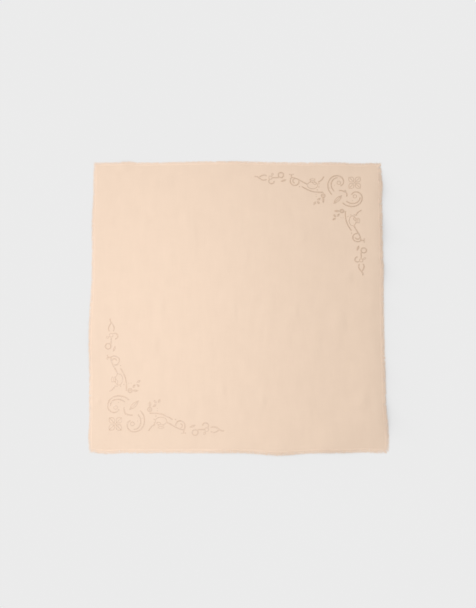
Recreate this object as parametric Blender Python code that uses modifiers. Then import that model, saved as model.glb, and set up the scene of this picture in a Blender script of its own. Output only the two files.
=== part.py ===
"""A square scarf of light plain-woven cloth, laid out flat, with a frayed fringe along each edge.

Metres, +Z up. The scarf lies on the plane z = 0 with its outline centred on the origin. +X points to its
right edge and +Y to its far edge. Its middle is flat, and its edges lift a little in soft ripples. The cloth
is one sheet, and each edge's fringe is one comb of yarn bundles just outside it.
"""

import math

import bmesh
import bpy
from mathutils import Vector

SIDE = 1.094  # width and length over the fringes, where the edges run straight
THICKNESS = 0.001
FRINGE_REACH = 0.013  # from the cloth's edge to the tips of the longest bundles
FRINGE_SPINE = 0.003  # the closed strip that joins a comb's bundles
GAP = 0.0003  # between the cloth and each comb

CELLS = 46  # cells of the cloth along each side, and bundles of each comb
CELL_EASE = 0.5  # 0 spaces the cells evenly, and nearer 1 makes those by the edges narrower
ROOT_SHARE = 0.62  # width of a bundle where it leaves the spine, as a share of its cell
TIP_SHARE = 0.44
SHORTEST_BUNDLE = 0.82  # as a share of the longest
BUNDLE_RHYTHM = 2.4  # radians of the wave that makes bundles uneven, from one to the next

CLOTH_HALF = SIDE / 2 - FRINGE_REACH

OUTWARD = {
    "left": Vector((-1, 0, 0)),
    "right": Vector((1, 0, 0)),
    "near": Vector((0, -1, 0)),
    "far": Vector((0, 1, 0)),
}

# Where an edge runs outside its straight line, or inside where "out" is negative. "at" and "half" are the
# middle and half-length of the bulge as shares of the side, counted from its left or near end.
BULGES = (
    # side, at, half, out
    ("left", 0.40, 0.20, 0.0060),
    ("left", 0.10, 0.10, -0.0020),
    ("left", 0.78, 0.12, 0.0025),
    ("left", 0.00, 0.03, -0.0070),
    ("right", 0.92, 0.05, 0.0035),
    ("right", 0.63, 0.05, 0.0025),
    ("right", 0.43, 0.16, -0.0015),
    ("right", 0.03, 0.14, 0.0080),
    ("right", 1.00, 0.02, -0.0070),
    ("near", 0.05, 0.06, 0.0025),
    ("near", 0.64, 0.13, 0.0085),
    ("near", 0.92, 0.08, -0.0020),
    ("near", 0.00, 0.03, -0.0070),
    ("far", 0.11, 0.04, 0.0030),
    ("far", 0.45, 0.30, 0.0050),
    ("far", 0.92, 0.12, -0.0030),
    ("far", 1.00, 0.02, -0.0060),
)

# Soft ripples that lift the cloth along an edge. "at" and "half" are shares of the side. Each rises from "reach"
# further in up to its crest, "rise" high, and from the crest it falls a little towards the edge. "crest" is the
# crest's distance from the edge.
RIPPLES = (
    # side, at, half, rise, crest, reach
    ("left", 0.37, 0.16, 0.0025, 0.000, 0.070),
    ("left", 0.80, 0.10, 0.0015, 0.000, 0.050),
    ("right", 0.92, 0.13, 0.0045, 0.025, 0.110),
    ("right", 0.77, 0.12, 0.0055, 0.030, 0.130),
    ("right", 0.63, 0.11, 0.0050, 0.025, 0.120),
    ("right", 0.50, 0.11, 0.0055, 0.030, 0.140),
    ("right", 0.38, 0.10, 0.0045, 0.025, 0.120),
    ("right", 0.26, 0.11, 0.0055, 0.030, 0.130),
    ("right", 0.12, 0.12, 0.0065, 0.035, 0.150),
    ("near", 0.48, 0.11, 0.0025, 0.015, 0.070),
    ("near", 0.64, 0.12, 0.0040, 0.020, 0.090),
    ("near", 0.82, 0.12, 0.0050, 0.025, 0.110),
    ("far", 0.10, 0.04, 0.0040, 0.000, 0.045),
    ("far", 0.50, 0.07, 0.0025, 0.000, 0.050),
    ("far", 0.86, 0.10, 0.0025, 0.000, 0.055),
)
CREST_FALL = 0.090  # from a crest outwards, the length over which a ripple would fall to nothing


def swell(distance):
    """1 at the middle of a bulge or ripple, and 0 at its ends and beyond; distance is in half-lengths."""
    if abs(distance) >= 1.0:
        return 0.0
    return 0.5 + 0.5 * math.cos(math.pi * distance)


def edge_line(side, along):
    """How far a side's edge lies from the scarf's middle, at a share of the way along it."""
    out = sum(out * swell((along - at) / half) for name, at, half, out in BULGES if name == side)
    return CLOTH_HALF + out


def ripple_profile(inward, crest, reach):
    """A ripple's height at a distance in from its edge, as a share of its rise."""
    return swell((inward - crest) / (reach if inward > crest else CREST_FALL))


def lift(across, up):
    """How high the cloth's underside stands, at its shares of the way across and up."""
    along = {"left": up, "right": up, "near": across, "far": across}
    inward = {"left": across, "right": 1 - across, "near": up, "far": 1 - up}
    return sum(
        rise * swell((along[side] - at) / half) * ripple_profile(inward[side] * 2 * CLOTH_HALF, crest, reach)
        for side, at, half, rise, crest, reach in RIPPLES
    )


def cloth_point(across, up):
    """The point of the cloth's underside at its shares of the way across (+X) and up (+Y)."""
    left = -edge_line("left", up)
    near = -edge_line("near", across)
    x = left + (edge_line("right", up) - left) * across
    y = near + (edge_line("far", across) - near) * up
    return Vector((x, y, lift(across, up)))


def eased(share):
    """Spreads even shares of a side so that they lie closer together near its two ends."""
    return share - CELL_EASE * math.sin(math.tau * share) / math.tau


def edge_corner(side, index):
    """The cloth's corner number index along a side."""
    along = eased(index / CELLS)
    across_up = {"left": (0, along), "right": (1, along), "near": (along, 0), "far": (along, 1)}
    return cloth_point(*across_up[side])


def sheet_object(name, mesh, material, collection):
    """A closed sheet of even thickness that stands on the open surface of a bmesh."""
    for face in mesh.faces:
        if face.normal.z < 0:
            face.normal_flip()
    data = bpy.data.meshes.new(name)
    mesh.to_mesh(data)
    mesh.free()
    data.shade_smooth()
    data.materials.append(material)
    sheet = bpy.data.objects.new(name, data)
    collection.objects.link(sheet)
    solidify = sheet.modifiers.new("Thickness", "SOLIDIFY")
    solidify.thickness = THICKNESS
    solidify.offset = 1.0
    return sheet


def make_cloth(collection):
    """The woven square: a flat grid moved to its uneven outline and its ripples."""
    mesh = bmesh.new()
    bmesh.ops.create_grid(mesh, x_segments=CELLS, y_segments=CELLS, size=0.5)
    for vertex in mesh.verts:
        vertex.co = cloth_point(eased(vertex.co.x + 0.5), eased(vertex.co.y + 0.5))
    mesh.normal_update()
    return sheet_object("cloth", mesh, cloth_material(), collection)


def bundle_reach(index):
    """How far a comb's bundle number index reaches out from the cloth."""
    uneven = 0.5 + 0.5 * math.sin(index * BUNDLE_RHYTHM)
    return FRINGE_REACH * (SHORTEST_BUNDLE + (1 - SHORTEST_BUNDLE) * uneven)


def make_fringe(side, collection):
    """The comb along one side: a narrow spine just outside the cloth, with a tapered bundle at each cell."""
    mesh = bmesh.new()
    outward = OUTWARD[side]
    root_from = (1 - ROOT_SHARE) / 2
    tip_from = (1 - TIP_SHARE) / 2
    inner = mesh.verts.new(edge_corner(side, 0) + outward * GAP)
    outer = mesh.verts.new(edge_corner(side, 0) + outward * FRINGE_SPINE)
    for index in range(CELLS):
        start = edge_corner(side, index)
        end = edge_corner(side, index + 1)
        root = []
        for share in (root_from, 1 - root_from, 1):
            edge = start.lerp(end, share)
            next_inner = mesh.verts.new(edge + outward * GAP)
            next_outer = mesh.verts.new(edge + outward * FRINGE_SPINE)
            mesh.faces.new((inner, outer, next_outer, next_inner))
            inner = next_inner
            outer = next_outer
            root.append(outer)
        reach = outward * bundle_reach(index)
        tip = [mesh.verts.new(start.lerp(end, share) + reach) for share in (tip_from, 1 - tip_from)]
        mesh.faces.new((root[0], tip[0], tip[1], root[1]))
    mesh.normal_update()
    return sheet_object(f"fringe_{side}", mesh, fringe_material(), collection)


def plain_material(name, colour, roughness):
    """A matt material of one colour."""
    material = bpy.data.materials.get(name)
    if material is None:
        material = bpy.data.materials.new(name)
        material.use_nodes = True
        shader = material.node_tree.nodes["Principled BSDF"]
        shader.inputs["Base Color"].default_value = (*colour, 1.0)
        shader.inputs["Roughness"].default_value = roughness
        shader.inputs["Metallic"].default_value = 0.0
    return material


def cloth_material():
    return plain_material("peach_cloth", (0.83, 0.66, 0.53), 0.85)


def fringe_material():
    return plain_material("peach_yarn", (0.84, 0.69, 0.54), 0.9)


def centre_on_origin(parts):
    """Moves the parts together so that their outline is centred on the origin."""
    bpy.context.view_layer.update()
    corners = [Vector(corner) for part in parts for corner in part.bound_box]
    for axis in (0, 1):
        places = [corner[axis] for corner in corners]
        middle = (min(places) + max(places)) / 2
        for part in parts:
            part.location[axis] = -middle


def main():
    for leftover in list(bpy.data.objects):
        bpy.data.objects.remove(leftover)
    collection = bpy.data.collections.new("rhinestone_scarf")
    bpy.context.scene.collection.children.link(collection)
    parts = [make_cloth(collection)]
    parts += [make_fringe(side, collection) for side in OUTWARD]
    centre_on_origin(parts)


main()
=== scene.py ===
"""The looks of a square scarf of light plain-woven cloth, laid out flat.

Metres, +Z up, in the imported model's frame. The woven cloth carries soft ripples and creases. Each edge ends
in a frayed fringe of single yarn ends, and two opposite corners carry the same ornament of rhinestones.
Places on the cloth are worked out on its straight-edged square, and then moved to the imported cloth's place.
"""

import math
import random

import bpy
from mathutils import Matrix, Vector


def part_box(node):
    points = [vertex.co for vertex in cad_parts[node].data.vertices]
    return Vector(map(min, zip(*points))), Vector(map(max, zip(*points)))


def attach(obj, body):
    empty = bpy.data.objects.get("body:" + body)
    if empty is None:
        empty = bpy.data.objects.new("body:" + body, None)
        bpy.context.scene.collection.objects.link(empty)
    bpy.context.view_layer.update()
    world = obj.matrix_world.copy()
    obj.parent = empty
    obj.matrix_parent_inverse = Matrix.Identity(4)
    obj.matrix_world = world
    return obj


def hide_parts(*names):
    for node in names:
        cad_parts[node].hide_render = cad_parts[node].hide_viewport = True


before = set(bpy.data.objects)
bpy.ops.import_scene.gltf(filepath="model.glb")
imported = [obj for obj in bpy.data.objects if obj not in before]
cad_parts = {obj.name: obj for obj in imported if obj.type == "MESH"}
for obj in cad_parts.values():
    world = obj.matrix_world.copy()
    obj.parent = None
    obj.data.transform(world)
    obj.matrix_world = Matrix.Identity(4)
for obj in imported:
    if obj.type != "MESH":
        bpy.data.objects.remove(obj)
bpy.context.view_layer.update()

MM = 0.001

# The straight-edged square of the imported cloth. The outline and the ripples below keep close to the packed
# cloth's, and the corners are fuller by up to 6 mm.
SIDE = 1.094  # width and length over the fringes, where the edges run straight
FRINGE_REACH = 0.013
CLOTH_HALF = SIDE / 2 - FRINGE_REACH

# The visible cloth.
CLOTH_CELLS = 204  # along each side
CLOTH_THICKNESS = 0.0006
YARN_PITCH = 0.0007  # from one yarn of the weave to the next
WAVE_RISE = 0.00035  # the low unevenness of cloth that lies without tension
WAVE_FLOOR = 0.5  # as a share of the rise, so that the waves stay above the plane
WAVES = (
    # share of the rise, then two crossing waves: radians to the metre along x and y, and start
    (0.32, (31, 9, 0.6), (7, -24, 1.9)),
    (0.18, (83, -17, 0.0), (21, 61, 0.8)),
)

# The fringe.
ENDS_PER_SIDE = 2400
YARN_WIDTH = 0.00085  # soft yarn that lies free spreads flat
YARN_DEPTH = 0.00020  # its thickness
END_LENGTH = {  # shortest and longest, beyond the cloth's edge
    "left": (0.0070, 0.0150),
    "right": (0.0105, 0.0185),
    "near": (0.0105, 0.0185),
    "far": (0.0070, 0.0150),
}
END_FALL = 0.45  # how far an end sinks from the edge's lift to the floor, as a share of the lift
END_ROOT = 0.001  # how far inside the cloth's edge a yarn end starts
END_RINGS = 6
END_PLACES = (0.1, 0.9)  # where it starts in its own stretch of the edge, as shares of that
END_WIDTHS = (0.8, 1.25)  # narrowest and widest, as shares of a yarn's width
ROOT_TAPER = 0.8
TIP_TAPER = 0.6
END_LEAN = 0.12  # usual lean to one side, as a share of the length
END_CURL = 0.18  # the same, of the bend that grows towards its tip
END_RAISE = 0.0003  # usual height of an end's arch
LOOSE_YARNS = 4  # slack yarns that run along an edge through its fringe
LOOSE_STEPS = 260
LOOSE_FIRST = 0.0006  # from the cloth's edge to the first of them
LOOSE_PITCH = 0.0011  # from each to the next
LOOSE_STARTS = (0.0, 0.02)  # where they begin and stop, as shares of the side
LOOSE_STOPS = (0.98, 1.0)
LOOSE_SWING = 0.0005  # how far they wander to and fro
LOOSE_SWINGS = 140  # radians of that wander to a side
LOOSE_RISES = 300  # radians of their rise and fall to a side
LOOSE_SHAKE = 0.00012  # usual error of each of their points
CORNER_SPREAD = 0.013  # near a corner, as a share of the side, the ends lean out to fill it
CORNER_LEAN = {"left": 0.7, "right": -0.7, "near": -0.7, "far": 0.7}

# The rhinestones, across their girdles.
FINE = 2.4 * MM
MEDIUM = 2.8 * MM
LARGE = 4.0 * MM
STONE_SPACE = 0.45 * MM  # between one stone and the next along a line
ROW_CLOSENESS = 0.9  # rows lie a little closer together than the stones along them
STONE_HEIGHT = 0.42  # as a share of the width
GIRDLE_HEIGHT = 0.10
TABLE_WIDTH = 0.52
STONE_FACETS = 6
STONE_TILT = 0.05  # radians that a stone usually leans off the cloth
CLOSEST = 0.46  # least distance between two stones' middles, as a share of their widths' sum
LEAF_ROWS_REACH = 0.8  # length of the rows inside a leaf, as a share of the leaf's
SLOPE_REACH = 0.004  # how far to each side the cloth's slope is taken

# The camera.
VIEW_DISTANCE = 3.52
VIEW_TILT = math.radians(7.5)  # from straight down, towards the near edge
VIEW_AIM = Vector((0.0036, 0.0018, 0.0))
LENS = 55.7  # millimetres, for the 36 mm long side of an upright frame

# The floor and the light.
FLOOR_SIZE = 12.0
FLOOR_DROP = 0.0001
SKY_STRENGTH = 0.88
FLOOR_SUN = (4.02, 6, 158, 12)  # strength, elevation, heading and width, in degrees
CLOTH_SUN = (1.0, 22, 150, 10)
STONE_SUN = (0.9, 50, 150, 30)  # falls on the near left ornament only, so that it comes out paler
STONE_SUN_COLOUR = (0.60, 0.70, 1.0)
SIDE_LIGHT_POWER = 8.64
SIDE_LIGHT_COLOUR = (0.99, 0.99, 1.03)
SIDE_LIGHT_SIZE = (1.0, 2.0)
SIDE_LIGHT_OVER = Vector((-0.473, -0.106, 0))
SIDE_LIGHT_HEIGHT = Vector((0, 0, 1.1))

# Colours: the darker and the lighter of the two that a material varies between.
CLOTH_SHADES = ((0.586, 0.452, 0.347), (0.716, 0.560, 0.437))
# The yarn's shades are painted lighter than the cloth's, to make up for the shade that falls among the free
# yarn ends.
YARN_SHADES_PAINTED_LIGHTER = ((0.625, 0.487, 0.380), (0.800, 0.630, 0.497))
STONE_SHADES = ((0.520, 0.366, 0.247), (0.585, 0.422, 0.292))
FLOOR_SHADES = ((0.8176, 0.8176, 0.8176), (0.8256, 0.8256, 0.8256))

# How fine each noise is along x, y and z.
EVEN = (1, 1, 1)
SLUBS_ACROSS = (18, 900, 1)
SLUBS_UP = (900, 18, 1)
STREAKS = (38, 9, 1)

SEED = 11

OUTWARD = {
    "left": Vector((-1, 0, 0)),
    "right": Vector((1, 0, 0)),
    "near": Vector((0, -1, 0)),
    "far": Vector((0, 1, 0)),
}

# Where an edge runs outside its straight line, or inside where "out" is negative. "at" and "half" are the
# middle and half-length of the bulge as shares of the side, counted from its left or near end.
BULGES = (
    # side, at, half, out
    ("left", 0.40, 0.20, 0.0060),
    ("left", 0.10, 0.10, -0.0020),
    ("left", 0.78, 0.12, 0.0025),
    ("left", 0.00, 0.03, -0.0030),
    ("right", 0.92, 0.05, 0.0035),
    ("right", 0.63, 0.05, 0.0025),
    ("right", 0.43, 0.16, -0.0015),
    ("right", 0.03, 0.14, 0.0080),
    ("right", 1.00, 0.02, -0.0010),
    ("near", 0.05, 0.06, 0.0025),
    ("near", 0.64, 0.13, 0.0085),
    ("near", 0.92, 0.08, -0.0020),
    ("near", 0.00, 0.02, -0.0030),
    ("far", 0.11, 0.04, 0.0030),
    ("far", 0.45, 0.30, 0.0050),
    ("far", 0.94, 0.10, -0.0035),
)

# Soft ripples that lift the cloth along an edge. "at" and "half" are shares of the side. Each rises from
# "reach" further in up to its crest, "rise" high, and from the crest it falls a little towards the edge.
# "crest" is the crest's distance from the edge.
RIPPLES = (
    # side, at, half, rise, crest, reach
    ("left", 0.37, 0.16, 0.0025, 0.000, 0.070),
    ("left", 0.80, 0.10, 0.0015, 0.000, 0.050),
    ("right", 0.92, 0.13, 0.0045, 0.020, 0.110),
    ("right", 0.77, 0.12, 0.0055, 0.020, 0.130),
    ("right", 0.63, 0.11, 0.0050, 0.025, 0.120),
    ("right", 0.50, 0.11, 0.0042, 0.036, 0.140),
    ("right", 0.38, 0.10, 0.0038, 0.036, 0.120),
    ("right", 0.26, 0.11, 0.0050, 0.032, 0.130),
    ("right", 0.12, 0.12, 0.0060, 0.026, 0.150),
    ("near", 0.48, 0.11, 0.0025, 0.015, 0.070),
    ("near", 0.64, 0.12, 0.0035, 0.020, 0.090),
    ("near", 0.82, 0.12, 0.0045, 0.025, 0.110),
    ("far", 0.10, 0.04, 0.0040, 0.000, 0.045),
    ("far", 0.50, 0.07, 0.0025, 0.000, 0.050),
    ("far", 0.86, 0.10, 0.0025, 0.000, 0.055),
)
CREST_FALL = 0.065  # from a crest outwards, the length over which a ripple would fall to nothing

# Faint creases: soft ridges that run along a heading, counted in degrees from +X. Each rises gently on the
# left of its heading and falls more steeply on the right.
CREASES = (
    # x, y, heading, half length, gentle half width, steep half width, rise
    (-0.163, 0.283, 96, 0.115, 0.060, 0.014, 0.0016),
    (-0.190, 0.330, 92, 0.070, 0.040, 0.014, 0.0009),
    (-0.008, -0.025, 95, 0.060, 0.040, 0.010, 0.0013),
    (-0.281, -0.017, 90, 0.070, 0.040, 0.014, 0.0011),
    (-0.303, -0.157, 91, 0.050, 0.030, 0.012, 0.0009),
    (0.220, -0.025, 88, 0.060, 0.040, 0.014, 0.0011),
    (0.037, 0.188, 90, 0.055, 0.036, 0.014, 0.0010),
    (-0.052, -0.320, 92, 0.045, 0.034, 0.016, 0.0014),
    (0.093, -0.365, 86, 0.050, 0.034, 0.018, 0.0014),
    (0.250, 0.258, 80, 0.040, 0.034, 0.020, 0.0012),
    (0.385, -0.060, 95, 0.070, 0.050, 0.030, 0.0026),
    (0.419, 0.105, 96, 0.035, 0.050, 0.022, 0.0022),
    (0.465, -0.356, 94, 0.045, 0.050, 0.030, 0.0026),
    (0.300, -0.150, 86, 0.080, 0.050, 0.020, 0.0012),
    (0.130, 0.020, 92, 0.120, 0.050, 0.018, 0.0009),
    (-0.340, 0.322, 88, 0.030, 0.030, 0.012, 0.0010),
    (-0.340, 0.120, 92, 0.090, 0.040, 0.018, 0.0007),
    (-0.100, -0.160, 90, 0.090, 0.040, 0.018, 0.0008),
    (0.112, -0.119, 270, 0.050, 0.040, 0.016, 0.0009),
    (0.026, -0.226, 270, 0.040, 0.034, 0.014, 0.0009),
    (0.063, 0.032, 270, 0.030, 0.034, 0.014, 0.0009),
    (-0.512, -0.360, 90, 0.022, 0.014, 0.012, 0.0018),
)


def swell(distance):
    """1 at the middle of a bulge or ripple, and 0 at its ends and beyond; distance is in half-lengths."""
    if abs(distance) >= 1.0:
        return 0.0
    return 0.5 + 0.5 * math.cos(math.pi * distance)


def edge_line(side, along):
    """How far a side's edge lies from the scarf's middle, at a share of the way along it."""
    out = sum(out * swell((along - at) / half) for name, at, half, out in BULGES if name == side)
    return CLOTH_HALF + out


def ripple_profile(inward, crest, reach):
    """A ripple's height at a distance in from its edge, as a share of its rise."""
    return swell((inward - crest) / (reach if inward > crest else CREST_FALL))


def lift(across, up):
    """How high the ripples lift the cloth, at its shares of the way across and up."""
    along = {"left": up, "right": up, "near": across, "far": across}
    inward = {"left": across, "right": 1 - across, "near": up, "far": 1 - up}
    return sum(
        rise * swell((along[side] - at) / half) * ripple_profile(inward[side] * 2 * CLOTH_HALF, crest, reach)
        for side, at, half, rise, crest, reach in RIPPLES
    )


def crease_height(x, y):
    """How high the creases and the low unevenness lift the cloth at a place on it."""
    height = 0.0
    for at_x, at_y, heading, half_length, gentle, steep, rise in CREASES:
        turn = math.radians(heading)
        off_x = x - at_x
        off_y = y - at_y
        along = (off_x * math.cos(turn) + off_y * math.sin(turn)) / half_length
        beside = off_y * math.cos(turn) - off_x * math.sin(turn)
        height += rise * swell(along) * swell(beside / (gentle if beside > 0 else steep))
    uneven = WAVE_FLOOR
    for share, first, second in WAVES:
        uneven += share * (wave(x, y, *first) * wave(x, y, *second))
    return height + WAVE_RISE * uneven


def wave(x, y, along_x, along_y, start):
    """A long wave over the cloth, at a place on it."""
    return math.sin(along_x * x + along_y * y + start)


def outline_place(across, up):
    """The place, x and y, of the cloth's shares of the way across (+X) and up (+Y)."""
    left = -edge_line("left", up)
    near = -edge_line("near", across)
    x = left + (edge_line("right", up) - left) * across
    y = near + (edge_line("far", across) - near) * up
    return x, y


def cloth_point(across, up):
    """The point of the cloth's underside at its shares of the way across and up."""
    x, y = outline_place(across, up)
    return Vector((x, y, lift(across, up) + crease_height(x, y)))


def shares_at(x, y):
    """The shares across and up of a place on the cloth."""
    across = up = 0.5
    for _ in range(3):
        left = -edge_line("left", up)
        near = -edge_line("near", across)
        across = (x - left) / (edge_line("right", up) - left)
        up = (y - near) / (edge_line("far", across) - near)
    return across, up


def underside(x, y):
    """How high the cloth's underside stands at a place on it."""
    return lift(*shares_at(x, y)) + crease_height(x, y)


def frame_shift():
    """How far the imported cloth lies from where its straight-edged square is centred on the origin."""
    low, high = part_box("cloth")
    steps = [step / CLOTH_CELLS for step in range(CLOTH_CELLS + 1)]
    left = min(outline_place(0, step)[0] for step in steps)
    right = max(outline_place(1, step)[0] for step in steps)
    near = min(outline_place(step, 0)[1] for step in steps)
    far = max(outline_place(step, 1)[1] for step in steps)
    return Vector(((low.x + high.x - left - right) / 2, (low.y + high.y - near - far) / 2, 0))


SHIFT = frame_shift()


def mesh_object(name, points, faces, material, smooth):
    """A new object from a list of points and faces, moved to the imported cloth's place."""
    data = bpy.data.meshes.new(name)
    data.from_pydata([point + SHIFT for point in points], [], faces)
    data.update()
    if smooth:
        data.shade_smooth()
    else:
        data.shade_flat()
    data.materials.append(material)
    made = bpy.data.objects.new(name, data)
    bpy.context.scene.collection.objects.link(made)
    return made


# The cloth.


def make_cloth():
    """The woven square: a fine grid on the cloth's outline, ripples and creases, made thick upwards."""
    row = CLOTH_CELLS + 1
    points = [cloth_point(i / CLOTH_CELLS, j / CLOTH_CELLS) for j in range(row) for i in range(row)]
    faces = [
        (j * row + i, j * row + i + 1, (j + 1) * row + i + 1, (j + 1) * row + i)
        for j in range(CLOTH_CELLS)
        for i in range(CLOTH_CELLS)
    ]
    cloth = mesh_object("woven_cloth", points, faces, cloth_material(), smooth=True)
    counts = {}  # faces at each edge: the cloth's cut edges have one, and are shaded as sharp
    for face in cloth.data.polygons:
        for key in face.edge_keys:
            counts[key] = counts.get(key, 0) + 1
    for edge in cloth.data.edges:
        edge.use_edge_sharp = counts[edge.key] == 1
    solidify = cloth.modifiers.new("Thickness", "SOLIDIFY")
    solidify.thickness = CLOTH_THICKNESS
    solidify.offset = 1.0
    return cloth


# The fringe.


def edge_place(side, along):
    """The point of the cloth's edge at a share of the way along a side."""
    shares = {"left": (0, along), "right": (1, along), "near": (along, 0), "far": (along, 1)}
    return cloth_point(*shares[side])


def add_yarn(points, faces, path, widths):
    """Adds a closed, flattened yarn along a path, with a width at each of its points."""
    first = len(points)
    for index, (place, width) in enumerate(zip(path, widths)):
        ahead = path[min(index + 1, len(path) - 1)] - path[max(index - 1, 0)]
        beside = Vector((-ahead.y, ahead.x, 0)).normalized() * width / 2
        above = ahead.cross(beside).normalized() * width / 2 * YARN_DEPTH / YARN_WIDTH
        points += [place + beside, place + above, place - beside, place - above]
    for ring in range(first, first + 4 * (len(path) - 1), 4):
        for corner in range(4):
            after = (corner + 1) % 4
            faces.append((ring + corner, ring + after, ring + after + 4, ring + corner + 4))
    last = first + 4 * (len(path) - 1)
    faces.append((first + 3, first + 2, first + 1, first))
    faces.append((last, last + 1, last + 2, last + 3))


def end_path(side, along, draw):
    """The path of one free yarn end: out of the cloth, leaning and curling a little, and sinking."""
    outward = OUTWARD[side]
    beside = Vector((-outward.y, outward.x, 0))
    root = edge_place(side, along)
    length = draw.uniform(*END_LENGTH[side])
    spread = swell(along / CORNER_SPREAD) - swell((1 - along) / CORNER_SPREAD)
    lean = draw.gauss(0, END_LEAN) + CORNER_LEAN[side] * spread
    curled = draw.gauss(0, END_CURL)
    raised = abs(draw.gauss(0, END_RAISE))
    path = []
    for ring in range(END_RINGS):
        share = ring / (END_RINGS - 1)
        out = -END_ROOT + (length + END_ROOT) * share
        aside = length * (lean * share + curled * share * share)
        lifted = root.z * (1 - END_FALL * share) + raised * math.sin(math.pi * share)
        height = max(YARN_DEPTH / 2, lifted + CLOTH_THICKNESS / 2 * (1 - share))
        path.append(Vector((root.x, root.y, height)) + outward * out + beside * aside)
    return path


def loose_path(side, place, draw):
    """The path of a slack yarn that runs along an edge, at a distance outside it."""
    outward = OUTWARD[side]
    start = draw.uniform(*LOOSE_STARTS)
    stop = draw.uniform(*LOOSE_STOPS)
    swing = draw.uniform(0, math.tau)
    path = []
    for step in range(LOOSE_STEPS + 1):
        along = start + (stop - start) * step / LOOSE_STEPS
        off = place + LOOSE_SWING * math.sin(LOOSE_SWINGS * along + swing) + draw.gauss(0, LOOSE_SHAKE)
        rise = YARN_DEPTH * (1 + math.sin(LOOSE_RISES * along))
        height = Vector((0, 0, CLOTH_THICKNESS / 2 + rise))
        path.append(edge_place(side, along) + outward * off + height)
    return path


def make_fringe(side):
    """The frayed edge along one side: its free yarn ends, and the slack yarns left among them."""
    draw = random.Random(f"{SEED} {side}")
    points = []
    faces = []
    for index in range(ENDS_PER_SIDE):
        along = (index + draw.uniform(*END_PLACES)) / ENDS_PER_SIDE
        width = YARN_WIDTH * draw.uniform(*END_WIDTHS)
        widths = [width * ROOT_TAPER] + [width] * (END_RINGS - 2) + [width * TIP_TAPER]
        add_yarn(points, faces, end_path(side, along, draw), widths)
    for index in range(LOOSE_YARNS):
        path = loose_path(side, LOOSE_FIRST + LOOSE_PITCH * index, draw)
        add_yarn(points, faces, path, [YARN_WIDTH] * len(path))
    fringe = mesh_object(f"yarn_fringe_{side}", points, faces, yarn_material(), smooth=False)
    fringe.visible_shadow = False  # fine fibres let the light through
    return fringe


# The ornament, in millimetres. On each arm u runs along the edge from the corner, and w runs inward from the
# edge. A vine carries one motif at each step of an even pitch, and the second arm is the first with u and w
# changed over. A heading of 0 runs towards the corner, and one of 90 runs inward. Inside an ornament, sizes
# and places are simple shares of the pitch, apart from the stones and the slight sags.
PITCH = 40
MOTIFS = 11  # pitches from the corner to the vine's tip
VINE_EDGE = PITCH * 3 / 2  # w of the vine's outer part
VINE_DRIFT = PITCH * 3 / 4  # how much further in it is at its blossom
DRIFT_START = PITCH * 8
DRIFT_LENGTH = PITCH * 2
VINE_RUNS = ((PITCH * 9.75, PITCH * 9.25), (PITCH * 8, PITCH * 6.5))  # between its motifs, from and to

RING = PITCH / 4
SMALL_RING = PITCH / 6
CURL = PITCH / 2  # radius where it leaves the vine
CURL_END = PITCH / 6
LEAF = PITCH / 2
LEAF_WIDTH = PITCH / 6
OVAL = (PITCH / 2, PITCH / 3)
BOW_SAG = PITCH / 5
STEM_SAG = 2  # of the short stems and bars
THORN_SAG = 3

PAISLEY_HEAD = (PITCH * 3.5, PITCH * 2)
PAISLEY_RADIUS = PITCH / 3  # of its curled end
PAISLEY_GROWTH = 4  # the tail is this many times as far out
PAISLEY_TURN = 300  # degrees
PAISLEY_FROM = 60  # the heading, from its middle, at which it starts
PAISLEY_INNER = 0.7  # size of the spiral inside it, as a share of its own

FLOWER_MIDDLE = (PITCH * 2, PITCH * 2)
FLOWER_PETALS = 4
PETAL = (PITCH / 8, PITCH * 3 / 4, PITCH / 2)  # from the middle to its root and to its tip, and its width
DIAGONAL_LEAF = (PITCH * 4, PITCH * 3.25, PITCH / 3)  # root and tip on the diagonal, and width

# The two ornaments. Each is set from the corner where the straight lines of the fringe tips meet.
ORNAMENTS = (
    # name, corner x and y, inset x and y, size, length of the arm along y as a share of the other's
    ("far_right", 1, 1, 20, 0, 1.00, 0.95),
    ("near_left", -1, -1, 15, 20, 1.05, 0.98),
)


def towards(heading):
    """The direction of a heading in degrees."""
    turn = math.radians(heading)
    return Vector((-math.cos(turn), math.sin(turn)))


def curl_line(start, heading, radius, end_radius, turn):
    """A line that leaves its start at a heading and turns by some degrees, from one radius to another."""
    steps = max(6, round(abs(turn) / 10))
    line = [start]
    for step in range(steps):
        share = (step + 0.5) / steps
        size = radius + (end_radius - radius) * share
        line.append(line[-1] + towards(heading + turn * share) * size * math.radians(abs(turn)) / steps)
    return line


def bow_line(start, end, sag=0):
    """A shallow bow between two places, which bends off to one side by its sag."""
    along = end - start
    beside = Vector((-along.y, along.x)).normalized() * sag
    steps = [step / 16 for step in range(17)]
    return [start + along * step + beside * math.sin(math.pi * step) for step in steps]


def spiral_line(middle, radius, growth, start, turn, size=1.0):
    """A spiral about a middle, from a start heading, whose radius grows by a factor in its turn."""
    steps = [step / 40 for step in range(41)]
    return [middle + towards(start + turn * step) * radius * growth**step * size for step in steps]


def ring_line(middle, half_u, half_w):
    """A closed oval."""
    turns = [math.tau * step / 48 for step in range(49)]
    return [middle + Vector((half_u * math.cos(turn), half_w * math.sin(turn))) for turn in turns]


def leaf_lines(root, tip, width, rows):
    """The two curved sides of a pointed leaf, and the rows inside it."""
    along = tip - root
    beside = Vector((-along.y, along.x)).normalized() * width / 2
    lines = []
    spread = [-1.0, 1.0] + [(row + 1) * 2 / (rows + 1) - 1 for row in range(rows)]
    for share in spread:
        reach = 1.0 if abs(share) == 1.0 else LEAF_ROWS_REACH
        steps = [step / 24 for step in range(25)]
        lines.append(
            [
                root + along * (0.5 + (step - 0.5) * reach) + beside * share * math.sin(math.pi * step)
                for step in steps
            ]
        )
    return lines


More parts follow.
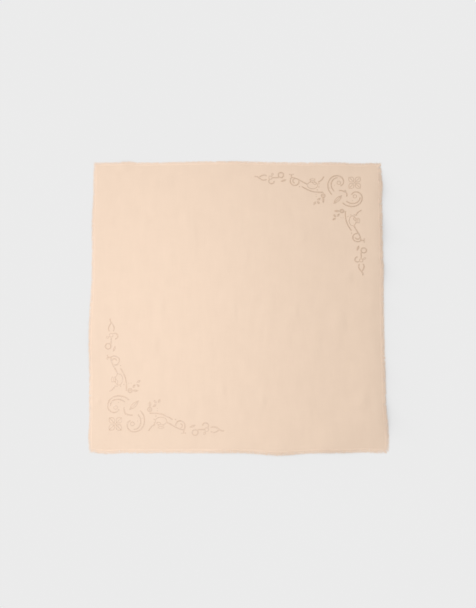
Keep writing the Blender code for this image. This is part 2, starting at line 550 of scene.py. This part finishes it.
def side_by_side(line, rows, gap):
    """A line's rows: copies of it, side by side with a gap between one and the next."""
    found = []
    for row in range(rows):
        off = (row - (rows - 1) / 2) * gap
        copy = []
        for index, place in enumerate(line):
            ahead = line[min(index + 1, len(line) - 1)] - line[max(index - 1, 0)]
            copy.append(place + Vector((-ahead.y, ahead.x)).normalized() * off)
        found.append(copy)
    return found


def spaced(line, gap, start):
    """Points along a line, evenly spaced by about a gap, from a share of the gap on."""
    lengths = [(after - before).length for before, after in zip(line, line[1:])]
    count = max(1, round(sum(lengths) / gap))
    step = sum(lengths) / count
    found = []
    passed = 0.0
    for (before, after), length in zip(zip(line, line[1:]), lengths):
        while (len(found) + start) * step <= passed + length and len(found) <= count:
            found.append(before.lerp(after, ((len(found) + start) * step - passed) / length))
        passed += length
    return found


def row_stones(line, rows, stone):
    """The places and widths of the stones along a line, in one or more rows."""
    gap = (stone + STONE_SPACE) / MM
    stones = []
    for row, copy in enumerate(side_by_side(line, rows, gap * ROW_CLOSENESS)):
        stones += [(place.x, place.y, stone) for place in spaced(copy, gap, 0.5 * (row % 2))]
    return stones


def leaf_stones(root, tip, width, rows=1, stone=FINE):
    """The stones of a leaf: its two sides and the rows inside it."""
    stones = []
    for line in leaf_lines(root, tip, width, rows):
        stones += row_stones(line, 1, stone)
    return stones


def dot(place, stone=LARGE):
    """A single stone."""
    return [(place.x, place.y, stone)]


def vine_place(u):
    """The vine's middle line: along the edge, and then drifting inward to its blossom."""
    share = min(1.0, max(0.0, (DRIFT_START - u) / DRIFT_LENGTH))
    return Vector((u, VINE_EDGE + VINE_DRIFT * (0.5 - 0.5 * math.cos(math.pi * share))))


def vine_stones():
    """The stretches of the vine itself."""
    stones = []
    for start, end in VINE_RUNS:
        places = [vine_place(start + (end - start) * step / 20) for step in range(21)]
        stones += row_stones(places, 2, FINE)
    return stones


def bud(place):
    """The vine's tip: a short tail, and a bud whose two sides stay open."""
    base = place + Vector((PITCH / 8, 0))
    stones = row_stones(bow_line(place + Vector((LEAF, -PITCH / 8)), base, STEM_SAG), 2, FINE)
    for side in leaf_lines(base, base - Vector((PITCH, 0)), LEAF, 0):
        kept = len(side) * 3 // 4 + 1
        stones += row_stones(side[:kept], 2, FINE)
    return stones


def ringlet(place):
    """A small ring on the vine, with a leaf on its outer side and a hook on its inner side."""
    stones = row_stones(ring_line(place, SMALL_RING, SMALL_RING), 1, MEDIUM)
    outer = place + towards(-60) * RING
    stones += leaf_stones(outer, outer + towards(-60) * LEAF / 2, LEAF_WIDTH, 0)
    return stones + row_stones(curl_line(place + towards(120) * RING, 120, RING, RING, -210), 2, FINE)


def loop(place):
    """A ring that stands on the vine's outer side, and a slim leaf on its inner side."""
    stones = row_stones(ring_line(place - Vector((0, RING)), RING, RING), 2, FINE)
    inner = place + Vector((0, RING * 1.5))
    return stones + leaf_stones(inner, inner + towards(-20) * LEAF, LEAF_WIDTH)


def curl(place):
    """A crossed stem on the vine's outer side, and the large curl on its inner side."""
    top = place - Vector((0, PITCH / 3))
    half_bar = Vector((RING * 0.75, 0))
    stones = row_stones(bow_line(place, top), 2, FINE)
    stones += row_stones(bow_line(top + half_bar, top - half_bar, -STEM_SAG), 2, FINE)
    return stones + row_stones(curl_line(place, 130, CURL, CURL_END, -480), 2, FINE)


def blossom(place):
    """An oval blossom at the vine's end, with two leaves over it, a curl in it and a thorn beside it."""
    half_u, half_w = OVAL
    stones = row_stones(ring_line(place, half_u, half_w), 1, MEDIUM)
    stones += row_stones(curl_line(place - Vector((0, half_w)), 90, RING, SMALL_RING, -150), 1, MEDIUM)
    for over in (1.25, 1.75):
        root = place + Vector((half_u / 2, -half_w * over))
        stones += leaf_stones(root, root - Vector((half_u, 0)), LEAF_WIDTH, 0)
    thorn = place + towards(-30) * half_u * 1.25
    stones += row_stones(bow_line(thorn, thorn + towards(-45) * PITCH * 0.75, -THORN_SAG), 2, FINE)
    for turn in (-15, 15, 45):
        stones += dot(place + towards(turn) * half_u * 1.25)
    return stones


def bow(start, end):
    """The long bow that runs under the blossom, with a stone before it."""
    stones = row_stones(bow_line(start, end, -BOW_SAG), 2, FINE)
    return stones + dot(start + towards(180) * RING)


def drop(place):
    """A drop that hangs from the bow's end: a ring with a stone in it, and a leaf."""
    stones = row_stones(ring_line(place, SMALL_RING, SMALL_RING), 2, FINE) + dot(place)
    root = place + Vector((0, SMALL_RING * 1.25))
    return stones + leaf_stones(root, root + Vector((0, LEAF)), LEAF_WIDTH)


def palmette(place):
    """A fan of three leaves on a stem of single stones."""
    stones = []
    for heading in (-30, 45, 120):
        root = place + towards(heading) * PITCH / 8
        stones += leaf_stones(root, root + towards(heading) * PITCH / 3, LEAF_WIDTH)
    for step in (2, 3):
        stones += dot(place - Vector((0, PITCH / 5 * step)), MEDIUM)
    return stones


def paisley():
    """The paisley: a spiral that opens into its tail, a smaller one inside it, a ring and a stem."""
    middle = Vector(PAISLEY_HEAD)
    shape = (middle, PAISLEY_RADIUS, PAISLEY_GROWTH, PAISLEY_FROM, -PAISLEY_TURN)
    stones = row_stones(spiral_line(*shape), 2, FINE)
    inner = spiral_line(*shape, size=PAISLEY_INNER)
    stones += row_stones(inner[len(inner) // 2 + 2 :], 2, FINE)
    stones += row_stones(ring_line(middle, SMALL_RING, SMALL_RING), 1, MEDIUM)
    stem = middle + Vector((0, PITCH * 3 / 4))
    stones += row_stones(bow_line(stem, stem + towards(15) * PITCH * 2 / 3, STEM_SAG), 2, FINE)
    for reach in (0.5, 0.75, 1.0):
        stones += dot(middle + towards(150) * PITCH * reach, MEDIUM)
    return stones


def arm_stones():
    """The stones of one arm: u, w and width."""
    places = [vine_place(PITCH * (MOTIFS - number)) for number in range(7)]
    bow_start = places[4] + Vector((0, PITCH / 2))
    bow_end = places[6] + Vector((0, PITCH * 2 / 3))
    stones = vine_stones() + bud(places[0]) + ringlet(places[1]) + loop(places[2]) + curl(places[3])
    stones += blossom(places[5]) + bow(bow_start, bow_end) + drop(bow_end + Vector((0, PITCH / 3)))
    return stones + palmette(bow_start.lerp(bow_end, 2 / 3) + Vector((0, PITCH))) + paisley()


def flower():
    """The flower near the corner: a stone and its petals, set crosswise."""
    middle = Vector(FLOWER_MIDDLE)
    root, tip, width = PETAL
    stones = dot(middle)
    for petal in range(FLOWER_PETALS):
        heading = towards(45 + 360 * petal / FLOWER_PETALS)
        stones += leaf_stones(middle + heading * root, middle + heading * tip, width, 1, MEDIUM)
    return stones


def diagonal_stones():
    """The stones of the flower and the leaf on the ornament's diagonal."""
    root, tip, width = DIAGONAL_LEAF
    return flower() + leaf_stones(Vector((root, root)), Vector((tip, tip)), width, 1, MEDIUM)


def ornament_stones(ornament):
    """The places, x and y, and widths of one ornament's stones, without those that would overlap."""
    _, corner_x, corner_y, inset_x, inset_y, size, second_length = ornament
    arm = arm_stones()
    design = arm + [(w, u * second_length, stone) for u, w, stone in arm] + diagonal_stones()
    kept = []
    for along_x, along_y, stone in design:
        x = corner_x * (SIDE / 2 - (inset_x + size * along_x) * MM)
        y = corner_y * (SIDE / 2 - (inset_y + size * along_y) * MM)
        if all((x - a) ** 2 + (y - b) ** 2 > (CLOSEST * (stone + other)) ** 2 for a, b, other in kept):
            kept.append((x, y, stone))
    return kept


def stone_shape():
    """The points and faces of a flat-backed round stone, one unit wide: table, crown, girdle and back."""
    sides = 2 * STONE_FACETS
    turns = [math.tau * side / sides for side in range(sides)]
    table = [
        Vector((math.cos(turn) * TABLE_WIDTH / 2, math.sin(turn) * TABLE_WIDTH / 2, STONE_HEIGHT))
        for turn in turns[::2]
    ]
    girdle = [Vector((math.cos(turn) / 2, math.sin(turn) / 2, GIRDLE_HEIGHT)) for turn in turns]
    back = [Vector((point.x, point.y, 0)) for point in girdle]
    low = STONE_FACETS + sides
    faces = [tuple(range(STONE_FACETS)), tuple(reversed(range(low, low + sides)))]
    for facet in range(STONE_FACETS):
        after = (facet + 1) % STONE_FACETS
        middle = STONE_FACETS + 2 * facet
        right = STONE_FACETS + (2 * facet + 1) % sides
        left = STONE_FACETS + (2 * facet - 1) % sides
        faces.append((facet, left, middle))
        faces.append((facet, middle, right))
        faces.append((facet, right, after))
    for side in range(sides):
        after = (side + 1) % sides
        faces.append((low + side, low + after, STONE_FACETS + after, STONE_FACETS + side))
    return table + girdle + back, faces


def cloth_frame(x, y):
    """The place of the cloth's upper surface at x and y, and the turn that sets a thing flat on it."""
    slope_x = (underside(x + SLOPE_REACH, y) - underside(x - SLOPE_REACH, y)) / (2 * SLOPE_REACH)
    slope_y = (underside(x, y + SLOPE_REACH) - underside(x, y - SLOPE_REACH)) / (2 * SLOPE_REACH)
    normal = Vector((-slope_x, -slope_y, 1)).normalized()
    place = Vector((x, y, underside(x, y))) + normal * CLOTH_THICKNESS
    return place, Vector((0, 0, 1)).rotation_difference(normal).to_matrix()


def make_stones(ornament):
    """One ornament's rhinestones, joined, each set on the cloth, leaning a little and turned at random."""
    name = ornament[0]
    draw = random.Random(f"{SEED} {name}")
    shape, shape_faces = stone_shape()
    points = []
    faces = []
    for x, y, width in ornament_stones(ornament):
        place, flat = cloth_frame(x, y)
        tilt = Matrix.Rotation(draw.gauss(0, STONE_TILT), 3, "X")
        tilt = tilt @ Matrix.Rotation(draw.gauss(0, STONE_TILT), 3, "Y")
        turn = flat @ tilt @ Matrix.Rotation(draw.uniform(0, math.tau), 3, "Z")
        first = len(points)
        points += [place + turn @ (corner * width) for corner in shape]
        faces += [tuple(first + corner for corner in face) for face in shape_faces]
    return mesh_object(f"stones_{name}", points, faces, stone_material(), smooth=False)


# Materials.


def new_material(name, roughness):
    """A material with its nodes, its links and its shader."""
    material = bpy.data.materials.new(name)
    material.use_nodes = True
    nodes = material.node_tree.nodes
    shader = nodes["Principled BSDF"]
    shader.inputs["Roughness"].default_value = roughness
    return material, nodes, material.node_tree.links, shader


def math_node(nodes, links, operation, first, second=None):
    """A math node of one or two values, each a number or another node's output."""
    node = nodes.new("ShaderNodeMath")
    node.operation = operation
    for socket, value in zip(node.inputs, (first, second)):
        if value is None:
            continue
        if isinstance(value, (int, float)):
            socket.default_value = value
        else:
            links.new(value, socket)
    return node.outputs[0]


def noise(nodes, links, scale, fineness, detail=2.0):
    """A noise texture over the object, which can be finer along one axis than along another."""
    place = nodes.new("ShaderNodeTexCoord").outputs["Object"]
    mapping = nodes.new("ShaderNodeMapping")
    mapping.inputs["Scale"].default_value = fineness
    texture = nodes.new("ShaderNodeTexNoise")
    texture.inputs["Scale"].default_value = scale
    texture.inputs["Detail"].default_value = detail
    links.new(place, mapping.inputs["Vector"])
    links.new(mapping.outputs["Vector"], texture.inputs["Vector"])
    return texture.outputs["Fac"]


def mixed_colour(nodes, links, factor, shades):
    """A colour between two shades, by a factor."""
    low, high = shades
    mix = nodes.new("ShaderNodeMix")
    mix.data_type = "RGBA"
    links.new(factor, mix.inputs["Factor"])
    mix.inputs["A"].default_value = (*low, 1.0)
    mix.inputs["B"].default_value = (*high, 1.0)
    return mix.outputs["Result"]


def weave_height(nodes, links):
    """The height of a plain weave: each yarn passes over one crossing yarn and under the next."""
    place = nodes.new("ShaderNodeTexCoord").outputs["Object"]
    axes = nodes.new("ShaderNodeSeparateXYZ")
    links.new(place, axes.inputs["Vector"])
    waves = []
    for axis in ("X", "Y"):
        turns = math_node(nodes, links, "MULTIPLY", axes.outputs[axis], math.pi / YARN_PITCH)
        waves.append(math_node(nodes, links, "SINE", turns))
    return math_node(nodes, links, "MULTIPLY", *waves)


def weighted_sum(nodes, links, parts):
    """The sum of some outputs, each times its weight."""
    total = None
    for output, weight in parts:
        node = nodes.new("ShaderNodeMath")
        node.operation = "MULTIPLY_ADD"
        links.new(output, node.inputs[0])
        node.inputs[1].default_value = weight
        node.inputs[2].default_value = 0.0
        if total is not None:
            links.new(total, node.inputs[2])
        total = node.outputs[0]
    return total


def add_bump(nodes, links, shader, height, strength, distance):
    """Roughens a shader's surface by a height, up to a distance."""
    bump = nodes.new("ShaderNodeBump")
    bump.inputs["Strength"].default_value = strength
    bump.inputs["Distance"].default_value = distance
    links.new(height, bump.inputs["Height"])
    links.new(bump.outputs["Normal"], shader.inputs["Normal"])


def cloth_material():
    """Light peach plain weave, with thicker and thinner yarns, faint streaks and a faint cloudiness."""
    material, nodes, links, shader = new_material("peach_weave", 0.88)
    slubs_across = noise(nodes, links, 1.0, SLUBS_ACROSS)
    slubs_up = noise(nodes, links, 1.0, SLUBS_UP)
    streaks = noise(nodes, links, 1.0, STREAKS, 3.0)
    cloud = noise(nodes, links, 16.0, EVEN, 4.0)
    shade_parts = ((slubs_across, 0.25), (slubs_up, 0.28), (streaks, 0.22), (cloud, 0.25))
    shade = weighted_sum(nodes, links, shade_parts)
    colour = mixed_colour(nodes, links, shade, CLOTH_SHADES)
    links.new(colour, shader.inputs["Base Color"])
    height_parts = ((weave_height(nodes, links), 0.4), (slubs_across, 0.8), (slubs_up, 0.8))
    add_bump(nodes, links, shader, weighted_sum(nodes, links, height_parts), 0.5, 0.0002)
    shader.inputs["Sheen Weight"].default_value = 0.08
    shader.inputs["Sheen Roughness"].default_value = 0.5
    shader.inputs["Specular IOR Level"].default_value = 0.2
    return material


def yarn_material():
    """The same yarn where it hangs free, uneven along its length. Its colour is painted lighter than the
    cloth's to make up for the shade among the yarn ends.
    """
    name = "peach_yarn_ends"
    if name in bpy.data.materials:
        return bpy.data.materials[name]
    material, nodes, links, shader = new_material(name, 0.9)
    colour = mixed_colour(nodes, links, noise(nodes, links, 900.0, EVEN), YARN_SHADES_PAINTED_LIGHTER)
    links.new(colour, shader.inputs["Base Color"])
    add_bump(nodes, links, shader, noise(nodes, links, 2500.0, EVEN), 0.4, 0.0001)
    shader.inputs["Specular IOR Level"].default_value = 0.2
    return material


def stone_material():
    """Champagne crystal with a mirrored back, which varies a little from stone to stone."""
    name = "champagne_crystal"
    if name in bpy.data.materials:
        return bpy.data.materials[name]
    material, nodes, links, shader = new_material(name, 0.3)
    colour = mixed_colour(nodes, links, noise(nodes, links, 240.0, EVEN, 1.0), STONE_SHADES)
    links.new(colour, shader.inputs["Base Color"])
    shader.inputs["Coat Weight"].default_value = 1.0
    shader.inputs["Coat Roughness"].default_value = 0.03
    shader.inputs["Coat IOR"].default_value = 2.4
    return material


def floor_material():
    """A plain pale floor."""
    material, nodes, links, shader = new_material("pale_floor", 0.9)
    colour = mixed_colour(nodes, links, noise(nodes, links, 0.8, EVEN), FLOOR_SHADES)
    links.new(colour, shader.inputs["Base Color"])
    shader.inputs["Specular IOR Level"].default_value = 0.0
    return material


# The stage.


def make_floor():
    """The surface that the scarf lies on."""
    half = FLOOR_SIZE / 2
    places = ((-half, -half), (half, -half), (half, half), (-half, half))
    corners = [Vector((x, y, -FLOOR_DROP)) for x, y in places]
    floor = mesh_object("floor", corners, [(0, 1, 2, 3)], floor_material(), smooth=False)
    return floor


def aim(thing, place, target):
    """Puts a camera or light at a place and turns it to a target."""
    thing.location = place
    thing.rotation_euler = (target - place).to_track_quat("-Z", "Y").to_euler()


def make_camera():
    """The camera, almost straight above the scarf."""
    camera = bpy.data.objects.new("camera", bpy.data.cameras.new("camera"))
    bpy.context.scene.collection.objects.link(camera)
    camera.data.lens = LENS
    target = VIEW_AIM + SHIFT
    back = Vector((0, -math.sin(VIEW_TILT), math.cos(VIEW_TILT)))
    aim(camera, target + back * VIEW_DISTANCE, target)
    bpy.context.scene.camera = camera


def make_sky(strength):
    """Even white light from all round."""
    world = bpy.data.worlds.new("sky")
    world.use_nodes = True
    background = world.node_tree.nodes["Background"]
    background.inputs["Color"].default_value = (1, 1, 1, 1)
    background.inputs["Strength"].default_value = strength
    bpy.context.scene.world = world


def link_light(lamp, receivers):
    """Lets a light fall on some objects only."""
    lit = bpy.data.collections.new(f"lit_by_{lamp.name}")
    for thing in receivers:
        lit.objects.link(thing)
    lamp.light_linking.receiver_collection = lit


def make_sun(name, strength, elevation, heading, width, receivers, colour=(1, 1, 1)):
    """A sun at an elevation and a heading, counted from +X, as wide as its angle."""
    light = bpy.data.lights.new(name, "SUN")
    light.energy = strength
    light.color = colour
    light.angle = math.radians(width)
    sun = bpy.data.objects.new(name, light)
    bpy.context.scene.collection.objects.link(sun)
    level = math.cos(math.radians(elevation))
    turn = math.radians(heading)
    height = math.sin(math.radians(elevation))
    aim(sun, Vector((level * math.cos(turn), level * math.sin(turn), height)), Vector((0, 0, 0)))
    link_light(sun, receivers)


def make_side_light(pieces):
    """A soft light over the left edge that brightens only the scarf."""
    light = bpy.data.lights.new("side_light", "AREA")
    light.energy = SIDE_LIGHT_POWER
    light.color = SIDE_LIGHT_COLOUR
    light.shape = "RECTANGLE"
    light.size, light.size_y = SIDE_LIGHT_SIZE
    lamp = bpy.data.objects.new("side_light", light)
    bpy.context.scene.collection.objects.link(lamp)
    aim(lamp, SIDE_LIGHT_OVER + SIDE_LIGHT_HEIGHT, SIDE_LIGHT_OVER)
    lamp.visible_camera = False
    link_light(lamp, pieces)


def main():
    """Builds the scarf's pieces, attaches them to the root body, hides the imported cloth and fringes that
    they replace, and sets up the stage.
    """
    cloth = make_cloth()
    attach(cloth, "root")
    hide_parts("cloth")
    fringes = [make_fringe(side) for side in OUTWARD]
    for side, fringe in zip(OUTWARD, fringes):
        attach(fringe, "root")
        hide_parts(f"fringe_{side}")
    ornaments = [make_stones(ornament) for ornament in ORNAMENTS]
    for stones in ornaments:
        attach(stones, "root")
    scarf = [cloth, *fringes, *ornaments]
    floor = make_floor()
    make_camera()
    make_sky(SKY_STRENGTH)
    make_sun("floor_sun", *FLOOR_SUN, [floor])
    make_sun("cloth_sun", *CLOTH_SUN, scarf)
    make_sun("stone_sun", *STONE_SUN, [ornaments[1]], STONE_SUN_COLOUR)
    make_side_light(scarf)
    bpy.context.scene.view_settings.view_transform = "Standard"


main()
